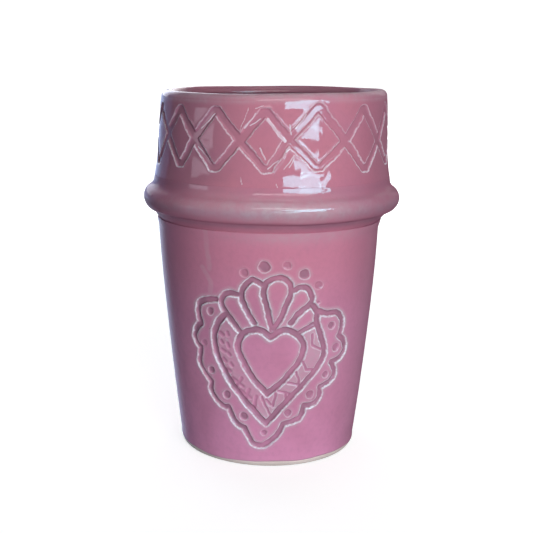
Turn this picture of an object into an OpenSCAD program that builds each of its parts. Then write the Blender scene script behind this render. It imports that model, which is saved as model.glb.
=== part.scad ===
// Handleless clay cup with a collar and a roll round its shoulder, glazed inside and out.
// Four clay pieces are luted together with slip, then a liner coat and an outer coat of glaze are fused on.
// The cup stands on the XY plane with its axis on Z, and every piece is turned about that axis.

/* [Body] */
// Height from the table to the top of the lip
cup_h = 120; // [105:0.5:150]
// Outer radius of the body at the table
foot_r = 29.6; // [24:0.1:36]
// How far the body flares out between the table and the roll
body_flare = 7.35; // [3:0.05:12]
// Swell of the body wall past a straight taper, at half its height
belly = 0.8; // [0:0.05:2]
// Finished thickness of the body wall, both coats included
wall_t = 4.6; // [3.6:0.1:6]

/* [Roll] */
// Height of the middle of the roll
roll_z = 85.2; // [65:0.1:98]
// How far the roll stands out from the top of the body
roll_proud = 5.65; // [4:0.05:8]
// Radius of the rounded face of the roll
roll_bead = 3.9; // [3:0.1:5]
// Radius of the hollow between the body and the roll
under_fillet = 3.3; // [2:0.1:5]
// Radius of the hollow between the roll and the collar
over_fillet = 5; // [3:0.1:7]

/* [Collar] */
// How far the foot of the collar stands out from the top of the body
collar_step = 1.55; // [0:0.05:3]
// How far the collar draws in between its foot and the lip
collar_draw = 1.25; // [0:0.05:4]
// Finished thickness of the collar and its rounded lip, both coats included
collar_t = 4.4; // [3.6:0.1:6]

/* [Floor and foot] */
// Finished thickness of the floor above the table, liner coat included
floor_t = 6; // [5:0.1:9]
// Radius of the hollow where the inside wall meets the floor
floor_fillet = 4; // [2:0.1:8]
// Radius of the rounded bottom edge of the foot
foot_round = 0.8; // [0.4:0.1:1.1]
// Width of the foot ring that stands on the table
foot_ring_w = 7; // [4:0.1:12]
// Depth of the turned hollow under the floor
foot_hollow = 1.2; // [0.5:0.1:2]
// Height of the bare clay band that the outer coat leaves above the table
bare_h = 1.3; // [1.2:0.1:2.4]

/* [Glaze] */
// Thickness of each coat of glaze
glaze_t = 0.35; // [0.2:0.05:0.6]

/* [Luted joints] */
// Thickness of the slip film left in each luted joint
slip_film = 0.1; // [0.05:0.01:0.2]
// Height of the ledge on the floor that the body wall stands on
ledge_h = 3; // [2.6:0.1:3.6]
// Share of the body's clay that goes into the tongue behind the roll
tongue_share = 0.56; // [0.4:0.01:0.7]
// Share of the collar's height that laps the tongue
tongue_lap_share = 0.24; // [0.1:0.01:0.4]

/* [Hidden] */
$fn = 128;

clay_colour = "#e6d8cf";
glaze_colour = "#b5708c";
liner_colour = "#a86480";

// Points on each kind of curve in a profile
corner_steps = 6;
fillet_steps = 10;
bead_steps = 18;
wall_steps = 24;
step_steps = 10;
lip_steps = 14;

// Every profile is a list of [radius, height] points, listed from the table upwards unless it says otherwise

function polar(centre, radius, angle) = centre + radius * [cos(angle), sin(angle)];

// Points along a circle's arc from one angle to another, both ends included
function arc(centre, radius, from, to, steps) =
    [for (i = [0 : steps]) polar(centre, radius, from + (to - from) * i / steps)];

function flipped(points) = [for (i = [len(points) - 1 : -1 : 0]) points[i]];

function middle(points) = [for (i = [1 : len(points) - 2]) points[i]];

function heading(from, to) = atan2(to[1] - from[1], to[0] - from[0]);

function unit(v) = v / norm(v);

// Direction along a point list at one of its points
function along(points, i) = unit(points[min(i + 1, len(points) - 1)] - points[max(i - 1, 0)]);

// The same point list moved sideways by a distance, to the left of its direction of travel
function inset(points, distance) =
    [for (i = [0 : len(points) - 1]) points[i] + distance * [-along(points, i)[1], along(points, i)[0]]];

function below(points, z) = [for (p = points) if (p[1] < z) p];

function above(points, z) = [for (p = points) if (p[1] > z) p];

// Radius of a rising point list at a height
function radius_at(points, z) = lookup(z, [for (p = points) [p[1], p[0]]]);

function at_height(points, z) = [radius_at(points, z), z];

// The part of a rising point list between two heights, with a point at each end
function between(points, low, high) =
    concat([at_height(points, low)], below(above(points, low), high), [at_height(points, high)]);

// Radii up the outside
body_top_r = foot_r + body_flare;
roll_r = body_top_r + roll_proud;
collar_base_r = body_top_r + collar_step;
rim_r = collar_base_r - collar_draw;

// Body: a taper that swells by a parabola
body_top_z = roll_z - roll_bead - under_fillet;
function body_r(z) =
    foot_r + (body_top_r - foot_r) * z / body_top_z + 4 * belly * z * (body_top_z - z) / body_top_z ^ 2;
body_top = [body_top_r, body_top_z];
body_lean = (body_top_r - foot_r - 4 * belly) / body_top_z;
body_up = unit([body_lean, 1]);

// Collar: a straight wall that leans in towards the lip
lip_r = collar_t / 2;
collar_lean = atan2(collar_base_r - rim_r, cup_h - lip_r - roll_z - roll_bead - over_fillet);
collar_up = [-sin(collar_lean), cos(collar_lean)];
collar_out = [cos(collar_lean), sin(collar_lean)];
lip_centre = [rim_r - lip_r * cos(collar_lean), cup_h - lip_r];
collar_top = lip_centre + lip_r * collar_out;

// Roll: a bead whose hollows touch it and the walls without a corner
bead_centre = [roll_r - roll_bead, roll_z];
// Distance along a wall from a point on it to where a hollow touches it; side is -1 below the bead and 1 above it
function touch(point, up, out, radius, side) =
    let (w = point + radius * out - bead_centre)
    side * sqrt((w * up) ^ 2 - w * w + (roll_bead + radius) ^ 2) - w * up;
body_out = [body_up[1], -body_up[0]];
under_touch = body_top + touch(body_top, body_up, body_out, under_fillet, -1) * body_up;
over_touch = collar_top + touch(collar_top, collar_up, collar_out, over_fillet, 1) * collar_up;
under_centre = under_touch + under_fillet * body_out;
over_centre = over_touch + over_fillet * collar_out;

// Outside of the finished cup, from the table to the crest of the lip
foot_curve = arc([foot_r - foot_round, foot_round], foot_round, -90, 0, corner_steps);
body_curve = [for (i = [1 : wall_steps])
    let (z = foot_round + (under_touch[1] - foot_round) * i / wall_steps) [body_r(z), z]];
under_curve = arc(under_centre, under_fillet, 180 + heading([0, 0], body_out),
    heading(under_centre, bead_centre), fillet_steps);
bead_curve = arc(bead_centre, roll_bead, heading(bead_centre, under_centre),
    heading(bead_centre, over_centre), bead_steps);
over_curve = arc(over_centre, over_fillet, 360 + heading(over_centre, bead_centre),
    180 + heading([0, 0], collar_out), fillet_steps);
lip_out_curve = arc(lip_centre, lip_r, collar_lean, 90, lip_steps);
outside = concat(foot_curve, body_curve, middle(under_curve), bead_curve, middle(over_curve),
    [over_touch], lip_out_curve);

// Height of the lap between the tongue and the collar
tongue_lap = tongue_lap_share * (lip_centre[1] - over_touch[1]);

// Inside of the finished cup, from the axis over the floor to the crest of the lip
inside_body_top_z = under_touch[1];
inside_collar_z = over_touch[1] + tongue_lap;
function inside_body_r(z) = body_r(z) - wall_t;
function inside_collar_r(z) = collar_top[0] - lip_r * 2 * cos(collar_lean) + (collar_top[1] - z) * tan(collar_lean);
function ease(t) = t * t * (3 - 2 * t);
floor_corner_z = floor_t + floor_fillet;
floor_curve = arc([inside_body_r(floor_corner_z) - floor_fillet, floor_corner_z], floor_fillet, -90, 0, corner_steps);
inside_body = [for (i = [1 : wall_steps])
    let (z = floor_corner_z + (inside_body_top_z - floor_corner_z) * i / wall_steps) [inside_body_r(z), z]];
inside_step = [for (i = [1 : step_steps])
    let (t = i / step_steps, z = inside_body_top_z + (inside_collar_z - inside_body_top_z) * t)
    [inside_body_r(inside_body_top_z) * (1 - ease(t)) + inside_collar_r(inside_collar_z) * ease(t), z]];
lip_in_curve = arc(lip_centre, lip_r, 180 + collar_lean, 90, lip_steps);
inside_wall = concat(floor_curve, inside_body, inside_step, lip_in_curve);
inside = concat([[0, floor_t]], inside_wall);

// Bare clay under the coats
clay_outside = inset(outside, glaze_t);
clay_inside = inset(inside, -glaze_t);
clay_inside_wall = [for (i = [1 : len(clay_inside) - 1]) clay_inside[i]];
clay_floor_z = floor_t - glaze_t;
crest = lip_centre + [0, lip_r];
clay_crest = crest - [0, glaze_t];

// Joint faces between the clay pieces
spigot_r = radius_at(clay_inside_wall, floor_corner_z) - slip_film;
wall_foot_z = ledge_h + slip_film;
shoulder_z = under_touch[1];
tongue_t = tongue_share * (wall_t - 2 * glaze_t);
tongue_r = radius_at(clay_inside_wall, shoulder_z) + tongue_t;
roll_low_z = shoulder_z + slip_film;
roll_high_z = over_touch[1];
collar_low_z = roll_high_z + slip_film;
tongue_top_z = roll_high_z + tongue_lap;
collar_seat_z = tongue_top_z + slip_film;
joint_r = tongue_r + slip_film;

module turned(points) {
    rotate_extrude() polygon(points);
}

// Round slab with a foot ring under it and a spigot that plugs the body wall
module floor_disc() {
    color(clay_colour) turned(concat(
        [[0, foot_hollow], [foot_r - foot_ring_w - foot_hollow, foot_hollow], [foot_r - foot_ring_w, 0]],
        below(foot_curve, bare_h),
        [at_height(outside, bare_h), at_height(clay_outside, bare_h)],
        [at_height(clay_outside, ledge_h), [spigot_r, ledge_h]],
        [[spigot_r, clay_floor_z], [0, clay_floor_z]]));
}

// Tapered wall, bored for the floor's spigot, with a tongue that rises behind the roll into the collar
module body_wall() {
    color(clay_colour) turned(concat(
        [[spigot_r + slip_film, wall_foot_z]],
        between(clay_outside, wall_foot_z, shoulder_z),
        [[tongue_r, shoulder_z], [tongue_r, tongue_top_z]],
        flipped(between(clay_inside_wall, floor_corner_z, tongue_top_z)),
        [[spigot_r + slip_film, floor_corner_z]]));
}

// Coil of clay pressed round the tongue, between the body's shoulder and the collar
module shoulder_roll() {
    color(clay_colour) turned(concat(
        [[joint_r, roll_low_z]],
        between(clay_outside, roll_low_z, roll_high_z),
        [[joint_r, roll_high_z]]));
}

// Upper ring of clay, rebated over the tongue, that ends in the rounded lip
module collar_wall() {
    color(clay_colour) turned(concat(
        [[joint_r, collar_low_z], at_height(clay_outside, collar_low_z)],
        [for (p = clay_outside) if (p[1] > collar_low_z && p[0] >= clay_crest[0]) p],
        flipped([for (p = clay_inside_wall) if (p[1] > collar_seat_z && p[0] < clay_crest[0]) p]),
        [at_height(clay_inside_wall, collar_seat_z), [joint_r, collar_seat_z]]));
}

// Coat on the outside, from the bare band at the foot up to the crest of the lip
module outer_glaze() {
    color(glaze_colour) turned(concat(
        [at_height(clay_outside, bare_h), at_height(outside, bare_h)],
        above(outside, bare_h),
        flipped(above(clay_outside, bare_h))));
}

// Coat on the inside, from the crest of the lip down over the floor
module liner_glaze() {
    color(liner_colour) turned(concat(clay_inside, flipped(inside)));
}

floor_disc();
body_wall();
shoulder_roll();
collar_wall();
outer_glaze();
liner_glaze();
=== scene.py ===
"""A handleless clay cup in mauve-pink glaze, with a carved heart on the body and diamonds round the collar.

Lengths are in millimetres until a surface becomes a mesh, which is in metres. Angles round the cup are in
radians, measured from the carved front towards the right.
"""

import logging
import math
from collections.abc import Callable
from dataclasses import dataclass, field, replace
from enum import Enum

import bpy
import numpy as np
from mathutils import Matrix, Vector


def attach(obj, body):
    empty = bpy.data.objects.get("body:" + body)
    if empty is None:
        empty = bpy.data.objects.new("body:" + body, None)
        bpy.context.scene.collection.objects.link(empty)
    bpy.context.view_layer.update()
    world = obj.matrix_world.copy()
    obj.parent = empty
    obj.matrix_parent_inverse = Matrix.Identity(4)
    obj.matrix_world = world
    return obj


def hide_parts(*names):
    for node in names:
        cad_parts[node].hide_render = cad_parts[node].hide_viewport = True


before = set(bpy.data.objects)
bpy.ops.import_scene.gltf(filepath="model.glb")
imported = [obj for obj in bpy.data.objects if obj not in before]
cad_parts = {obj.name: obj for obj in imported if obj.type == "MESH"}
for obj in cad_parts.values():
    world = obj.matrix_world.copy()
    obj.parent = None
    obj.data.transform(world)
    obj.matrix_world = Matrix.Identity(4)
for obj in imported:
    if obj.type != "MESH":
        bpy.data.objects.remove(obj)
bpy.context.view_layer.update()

LOG = logging.getLogger("clay_cup")
MM = 0.001
CUP_BODY = "root"

# Distance where no cut is near, and the largest distance that a mark keeps, in millimetres
FAR = 9.0
MARK_REACH = 3.0
SHARP_TURN = math.radians(66.0)

Array = np.ndarray
Colour = tuple[float, float, float]
Point = tuple[float, float]
# The two ends of a step, the centre and width of a bell, or a value above and one below
Pair = tuple[float, float]
# Rows for sines() or bells()
Rows = tuple[tuple[float, float, float], ...]


def ease(low: float, high: float, x: Array) -> Array:
    """Smooth cubic step from 0 at low to 1 at high."""
    t = np.clip((x - low) / (high - low), 0.0, 1.0)
    return t * t * (3.0 - 2.0 * t)


def bell(x: Array, centre: float, width: float) -> Array:
    """Bell of height 1 round a centre, down to 1/e at one width from it."""
    return np.exp(-(((x - centre) / width) ** 2))


def sines(angle: Array, waves: Rows) -> Array:
    """Sum of sines round the cup, each with its height, its number in one turn and its phase."""
    return sum(height * np.sin(count * angle + phase) for height, count, phase in waves)


def bells(z: Array, rings: Rows) -> Array:
    """Sum of bells up the cup, each with its height, its centre and its width."""
    return sum(height * bell(z, centre, width) for height, centre, width in rings)


def ripple(angle: Array, z: Array, seed: int) -> Array:
    """Unevenness of a wiped surface: sines that run round and up it, 3 to 18 mm long and about 1 high.

    Args:
        angle: Angles from the front.
        z: Heights.
        seed: Picks the directions and phases.

    Returns:
        Heights of the ripple on the joint grid of the two.
    """
    rng = np.random.default_rng(seed)
    count, most = 12, 44
    around, along = rng.integers(-most, most + 1, count), rng.uniform(0.35, 1.3, count)
    phase = rng.uniform(0.0, 2.0 * math.pi, count)
    waves = [np.sin(m * angle + k * z + p) / (1.0 + abs(m) / 20.0 + k)
             for m, k, p in zip(around, along, phase)]
    return np.sum(waves, axis=0) / 2.0


def stations(low: float, high: float, pitch: Callable[[Array], Array]) -> Array:
    """Stations between two ends, spaced by a pitch that changes along the way.

    They lie at equal steps of the running sum of one over the pitch.

    Args:
        low: First station.
        high: Last station.
        pitch: Wanted spacing as a function of position.

    Returns:
        The stations, both ends included.
    """
    fine = np.linspace(low, high, 6001)
    density = 1.0 / pitch(fine)
    running = np.concatenate([[0.0], np.cumsum(0.5 * (density[1:] + density[:-1]) * np.diff(fine))])
    count = max(2, int(round(running[-1])))
    return np.interp(np.linspace(0.0, running[-1], count + 1), running, fine)


def arc(centre: Array, radius: float, start: float, end: float, turns: Array) -> Array:
    """Points [r, z] on a circle, at shares of the way from one angle to another."""
    angle = start + (end - start) * turns
    return centre + radius * np.stack([np.cos(angle), np.sin(angle)], axis=-1)


def joined(*runs: Array) -> Array:
    """One section from several runs of [r, z] points, each of which starts where the last one ends."""
    return np.concatenate([runs[0]] + [run[1:] for run in runs[1:]])


def round_angles(columns: int) -> Array:
    """Angles of evenly spaced columns once round the cup, from the back."""
    return np.linspace(-math.pi, math.pi, columns, endpoint=False)


def spun(section: Array, columns: int) -> Array:
    """A section of [r, z] points, the same in every column of a turned grid."""
    return np.repeat(section[:, None], columns, axis=1)


class Mark(Enum):
    """What the glaze does at a point, and where shade or light is painted on it, kept on the mesh for the
    finishes to read.
    """

    EDGE = "cut_edge"
    LINE = "edge_line"
    SCRATCH = "scratch"
    # Glaze pooled in the cuts, and painted shade on the roll and inside the lip
    POOL_AND_SHADE = "glaze_pool"
    # Thin glaze, and painted light and sheen on the roll, under it, on the lip and in one glint
    THIN_AND_LIGHT = "glaze_thin"


@dataclass(frozen=True)
class CupForm:
    """Sizes of the thrown cup, as in its solids, its hand-made unevenness, and the curves that follow."""

    cup_h: float = 120.0
    foot_r: float = 29.6
    body_flare: float = 7.35
    belly: float = 0.8
    wall_t: float = 4.6
    roll_z: float = 85.2
    roll_proud: float = 5.65
    roll_bead: float = 3.9
    under_fillet: float = 3.3
    over_fillet: float = 5.0
    collar_step: float = 1.55
    collar_draw: float = 1.25
    collar_t: float = 4.4
    floor_t: float = 6.0
    floor_fillet: float = 4.0
    foot_round: float = 0.8
    foot_ring_w: float = 7.0
    foot_hollow: float = 1.2
    bare_h: float = 1.3
    glaze_t: float = 0.35
    ledge_h: float = 3.0
    bore_rise: float = 6.0
    collar_flare: float = 0.55
    flare_h: float = 8.5
    shoulder_drift: float = -0.85
    shoulder_drift_z: Pair = (86.0, 75.0)
    shoulder_drift_bend: float = 1.7
    lip_drift: float = 0.2
    lip_drift_z: Pair = (98.0, 120.0)
    shoulder_tilt: float = 0.3
    shoulder_tilt_z: Pair = (62.0, 86.0)
    lip_tilt: float = 0.36
    lip_tilt_z: Pair = (88.0, 119.0)
    tilt_r: float = 38.0
    swell: float = 0.22
    swell_at: Pair = (66.0, 20.0)
    out_of_round: Rows = ((0.0022, 2.0, math.pi / 2 + 0.7), (0.0014, 3.0, math.pi / 2 - 1.2))
    out_of_round_z: Pair = (2.0, 30.0)
    lip_oval: float = 0.33
    lip_waves: Rows = ((0.05, 1.0, 0.0), (0.1, 1.0, -math.pi / 2), (0.16, 2.0, 1.0), (0.1, 5.0, 0.3))
    lip_wave_z: Pair = (113.0, 119.5)
    lip_sink: float = 0.15

    @property
    def body_top(self) -> Array:
        """Top of the body's taper, just under the roll."""
        return np.array([self.foot_r + self.body_flare, self.roll_z - self.roll_bead - self.under_fillet])

    def body_r(self, z: Array) -> Array:
        """Outer radius of the body: a straight taper plus a parabola that swells it at half height."""
        top_r, top_z = self.body_top
        t = z / top_z
        return self.foot_r + (top_r - self.foot_r) * t + 4.0 * self.belly * t * (1.0 - t)

    @property
    def body_up(self) -> Array:
        """Unit direction up the body wall at its top."""
        lean = (self.body_flare - 4.0 * self.belly) / self.body_top[1]
        return np.array([lean, 1.0]) / math.hypot(lean, 1.0)

    @property
    def collar_lean(self) -> float:
        """Angle by which the collar leans in towards the lip."""
        rise = self.cup_h - self.collar_t / 2.0 - self.roll_z - self.roll_bead - self.over_fillet
        return math.atan2(self.collar_draw, rise)

    @property
    def collar_up(self) -> Array:
        """Unit direction up the collar wall."""
        return np.array([-math.sin(self.collar_lean), math.cos(self.collar_lean)])

    @property
    def collar_out(self) -> Array:
        """Unit direction out of the collar wall."""
        return np.array([math.cos(self.collar_lean), math.sin(self.collar_lean)])

    @property
    def lip_r(self) -> float:
        """Radius of the rounded lip."""
        return self.collar_t / 2.0

    @property
    def lip_centre(self) -> Array:
        """Centre of the rounded lip's section."""
        rim_r = self.foot_r + self.body_flare + self.collar_step - self.collar_draw
        return np.array([rim_r - self.lip_r * math.cos(self.collar_lean), self.cup_h - self.lip_r])

    @property
    def collar_top(self) -> Array:
        """Where the collar's outside runs into the lip."""
        return self.lip_centre + self.lip_r * self.collar_out

    @property
    def bead_centre(self) -> Array:
        """Centre of the roll's rounded face."""
        return np.array([self.body_top[0] + self.roll_proud - self.roll_bead, self.roll_z])

    def touch(self, point: Array, up: Array, out: Array, radius: float, side: float) -> Array:
        """Point on a straight wall where a hollow touches both it and the roll.

        The hollow's centre is one radius off the wall and one radius plus the bead's from the roll's centre.

        Args:
            point: Any point on the wall.
            up: Unit direction up the wall.
            out: Unit direction out of the wall.
            radius: Radius of the hollow.
            side: -1 below the roll and 1 above it.

        Returns:
            The touching point [r, z].
        """
        w = point + radius * out - self.bead_centre
        reach = (self.roll_bead + radius) ** 2 - w @ w + (w @ up) ** 2
        return point + (side * math.sqrt(reach) - w @ up) * up

    @property
    def under_touch(self) -> Array:
        """Where the body runs into the hollow under the roll."""
        up = self.body_up
        return self.touch(self.body_top, up, np.array([up[1], -up[0]]), self.under_fillet, -1.0)

    @property
    def over_touch(self) -> Array:
        """Where the hollow over the roll runs into the collar."""
        return self.touch(self.collar_top, self.collar_up, self.collar_out, self.over_fillet, 1.0)

    def roll_curve(self, hollow_steps: int, bead_steps: int) -> Array:
        """Outside of the roll: hollow, bead and hollow, three arcs that meet without a corner.

        The steps of a hollow crowd towards the wall that it runs into.

        Args:
            hollow_steps: Steps along each hollow.
            bead_steps: Steps along the bead.

        Returns:
            Points [r, z] from the body up to the collar.
        """
        body_out = np.array([self.body_up[1], -self.body_up[0]])
        low = self.under_touch + self.under_fillet * body_out
        high = self.over_touch + self.over_fillet * self.collar_out
        body_dir = math.pi + math.atan2(body_out[1], body_out[0])
        low_dir = math.atan2(*(self.bead_centre - low)[::-1])
        high_dir = math.atan2(*(high - self.bead_centre)[::-1])
        collar_dir = math.pi + self.collar_lean
        crowd = 1.4
        shares = np.linspace(0.0, 1.0, hollow_steps + 1)
        bead_shares = np.linspace(0.0, 1.0, bead_steps + 1)
        under = arc(low, self.under_fillet, body_dir, low_dir, shares**crowd)
        bead = arc(self.bead_centre, self.roll_bead, low_dir - math.pi, high_dir, bead_shares)
        over = arc(high, self.over_fillet, high_dir + math.pi, collar_dir, 1.0 - (1.0 - shares) ** crowd)
        return joined(under, bead, over)

    def inside_curve(self, wall_steps: int, floor_steps: int) -> Array:
        """Inside of the finished cup, from the axis over the floor and up to the lip's inner edge.

        The wall keeps its thickness below the roll, then eases out to the collar's bore.

        Args:
            wall_steps: Steps up the wall.
            floor_steps: Steps along the floor, and again round its hollow.

        Returns:
            Points [r, z].
        """
        corner_z = self.floor_t + self.floor_fillet
        corner_r = float(self.body_r(np.array(corner_z))) - self.wall_t
        turns = np.linspace(0.0, 1.0, floor_steps + 1)
        hollow_at = np.array([corner_r - self.floor_fillet, corner_z])
        floor = np.stack([hollow_at[0] * turns, np.full(floor_steps + 1, self.floor_t)], axis=-1)
        hollow = arc(hollow_at, self.floor_fillet, -math.pi / 2, 0.0, turns)
        end = self.lip_centre - self.lip_r * self.collar_out
        z = np.linspace(corner_z, end[1], wall_steps + 1)
        body_in = self.body_r(np.minimum(z, self.under_touch[1])) - self.wall_t
        collar_in = end[0] + (end[1] - z) * math.tan(self.collar_lean)
        share = ease(self.under_touch[1], self.over_touch[1] + self.bore_rise, z)
        return joined(floor, hollow, np.stack([body_in * (1.0 - share) + collar_in * share, z], axis=-1))

    def settled(self, r: Array, angle: Array, z: Array) -> Array:
        """Places on the hand-thrown cup: turned points a little out of round, shifted sideways and tilted.

        Args:
            r: Radii.
            angle: Angles from the front.
            z: Heights.

        Returns:
            Points [x, y, z].
        """
        up_body = np.clip(z / self.shoulder_drift_z[1], 0.0, 1.0) ** self.shoulder_drift_bend
        drift = self.shoulder_drift * up_body * ease(*self.shoulder_drift_z, z)
        drift = drift + self.lip_drift * ease(*self.lip_drift_z, z)
        uneven = sines(angle, self.out_of_round) * ease(*self.out_of_round_z, z)
        radius = r * (1.0 + uneven) + self.swell * bell(z, *self.swell_at)
        tilt = self.shoulder_tilt * ease(*self.shoulder_tilt_z, z) + self.lip_tilt * ease(*self.lip_tilt_z, z)
        lip = (self.lip_nod(angle) - self.lip_sink) * ease(*self.lip_wave_z, z)
        lift = tilt / self.tilt_r * r * np.sin(angle) + lip
        return np.stack([radius * np.sin(angle) + drift, -radius * np.cos(angle), z + lift], axis=-1)

    def lip_nod(self, angle: Array) -> Array:
        """Rise and fall of the lip round the mouth: a few slow sines, highest at the right."""
        return self.lip_oval * np.sin(angle) ** 2 + sines(angle, self.lip_waves)


@dataclass(frozen=True)
class Cut:
    """One line cut by a loop tool: the points it goes through, its width and its depth.

    Points are in millimetres across and up the wall. The line is the strength of the pale glaze it leaves.
    """

    points: tuple[Point, ...]
    width: float
    depth: float
    straight: bool = False
    line: float = 1.0

    def path(self) -> Array:
        """The tool's path: straight runs, or a spline whose tangents are half the step past each point.

        Returns:
            Points across and up the wall.
        """
        p = np.array(self.points, dtype=float)
        if self.straight or len(p) < 3:
            return p
        q = np.concatenate([[2 * p[0] - p[1]], p, [2 * p[-1] - p[-2]]])
        steps = 6
        t = (np.arange(steps) / steps)[None, :, None]
        a, b, c, d = (q[k : k + len(p) - 1, None] for k in range(4))
        bend, twist = 2 * a - 5 * b + 4 * c - d, 3 * b - a - 3 * c + d
        spans = 0.5 * (2 * b + (c - a) * t + bend * t**2 + twist * t**3)
        return np.concatenate([spans.reshape(-1, 2), p[-1:]])

    def clearance(self, spots: Array) -> Array:
        """Distance from the cut's edge, below zero inside it: the distance to the path less half the width.

        Args:
            spots: Places across and up the wall.

        Returns:
            One distance for each place, or the far one where the cut is out of reach.
        """
        path, half = self.path(), self.width / 2.0
        reach = half + MARK_REACH
        near = np.all((spots > path.min(axis=0) - reach) & (spots < path.max(axis=0) + reach), axis=1)
        out = np.full(len(spots), FAR)
        local = spots[near]
        if len(path) == 1:
            out[near] = np.linalg.norm(local - path[0], axis=1) - half
            return out
        start, step = path[:-1], np.diff(path, axis=0)
        span = np.maximum((step**2).sum(axis=1), 1e-9)
        offset = local[:, None, :] - start[None]
        share = np.clip((offset * step).sum(axis=2) / span, 0.0, 1.0)
        out[near] = np.linalg.norm(offset - share[..., None] * step, axis=2).min(axis=1) - half
        return out


@dataclass(frozen=True)
class CutSurface:
    """What a carving does to a wall, on the wall's own grid."""

    move: Array
    marks: dict[Mark, Array]


@dataclass(frozen=True)
class Carving:
    """Cuts, scratches and washes on one wall; a wash cuts nothing and only pales the glaze: thin glaze, and
    in one small place a painted glint.
    """

    cuts: tuple[Cut, ...]
    scratches: tuple[Cut, ...] = ()
    washes: tuple[Cut, ...] = ()
    wall_ease: Pair = (-0.5, 0.08)
    wash_ease: Pair = (0.3, -0.6)
    halo_ease: Pair = (1.5, 0.1)
    face_ease: Pair = (-0.3, 0.1)
    burr_h: float = 0.07
    burr_at: Pair = (0.28, 0.24)
    floor_pool: float = 0.68
    full_pool_depth: float = 0.5
    halo: float = 0.52
    # How much the pale line weakens away from the lower edge of a cut, which carries a painted highlight
    lower_edge_highlight: float = 0.18
    slow_shake: float = 0.1
    quick_shake: float = 0.06

    def apply(self, across: Array, up: Array) -> CutSurface:
        """Works out the cut surface: floors eased into the walls, with a slight burr along each edge.

        The glaze breaks pale over the edges of a cut, and the pale line is strongest along the lower edge:
        painted highlight, where the lower wall faces light from above. The hand shakes a little, so places
        are shifted by slow and quick sines before the cuts are looked up.

        Args:
            across: Distance round the wall from the front.
            up: Height on the wall.

        Returns:
            How far the surface moves along its normal, and the marks that the carving leaves on it.
        """
        slow, quick = self.slow_shake, self.quick_shake
        shake_x = slow * np.sin(0.9 * up + 0.4 * across) + quick * np.sin(2.3 * up - 1.1 * across + 1.0)
        shake_z = slow * np.sin(0.8 * across - 0.3 * up + 2.0) + quick * np.sin(2.1 * across + 1.3 * up)
        spots = np.stack([(across + shake_x).ravel(), (up + shake_z).ravel()], axis=-1)
        edge, scratch = np.full(len(spots), FAR), np.full(len(spots), FAR)
        depth, line, worn = np.zeros((3, len(spots)))
        for cut in self.cuts:
            gap = cut.clearance(spots)
            depth = np.maximum(depth, cut.depth * (1.0 - ease(*self.wall_ease, gap)))
            line = np.where(gap < edge, cut.line, line)
            edge = np.minimum(edge, gap)
        for cut in self.scratches:
            scratch = np.minimum(scratch, cut.clearance(spots) / cut.line)
        for cut in self.washes:
            worn = np.maximum(worn, cut.line * ease(*self.wash_ease, cut.clearance(spots)))
        grids = np.reshape([edge, scratch, depth, line, worn], (5, *across.shape))
        edge, scratch, depth, line, worn = grids
        lower = np.clip(-np.gradient(edge, up[:, 0], axis=0), -1.0, 1.0)
        face = ease(*self.face_ease, edge)
        halo = self.halo * line * ease(*self.halo_ease, edge) * face
        marks = {
            Mark.EDGE: np.clip(edge, -MARK_REACH, MARK_REACH),
            # Painted highlight: the pale line is strongest along the lower edge of a cut
            Mark.LINE: line * (1.0 - self.lower_edge_highlight * (1.0 - lower)),
            Mark.SCRATCH: np.minimum(scratch, MARK_REACH),
            Mark.POOL_AND_SHADE: self.floor_pool * np.clip(depth / self.full_pool_depth, 0.0, 1.0),
            Mark.THIN_AND_LIGHT: np.maximum(halo, worn * face),
        }
        return CutSurface(self.burr_h * bell(edge, *self.burr_at) - depth, marks)


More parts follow.
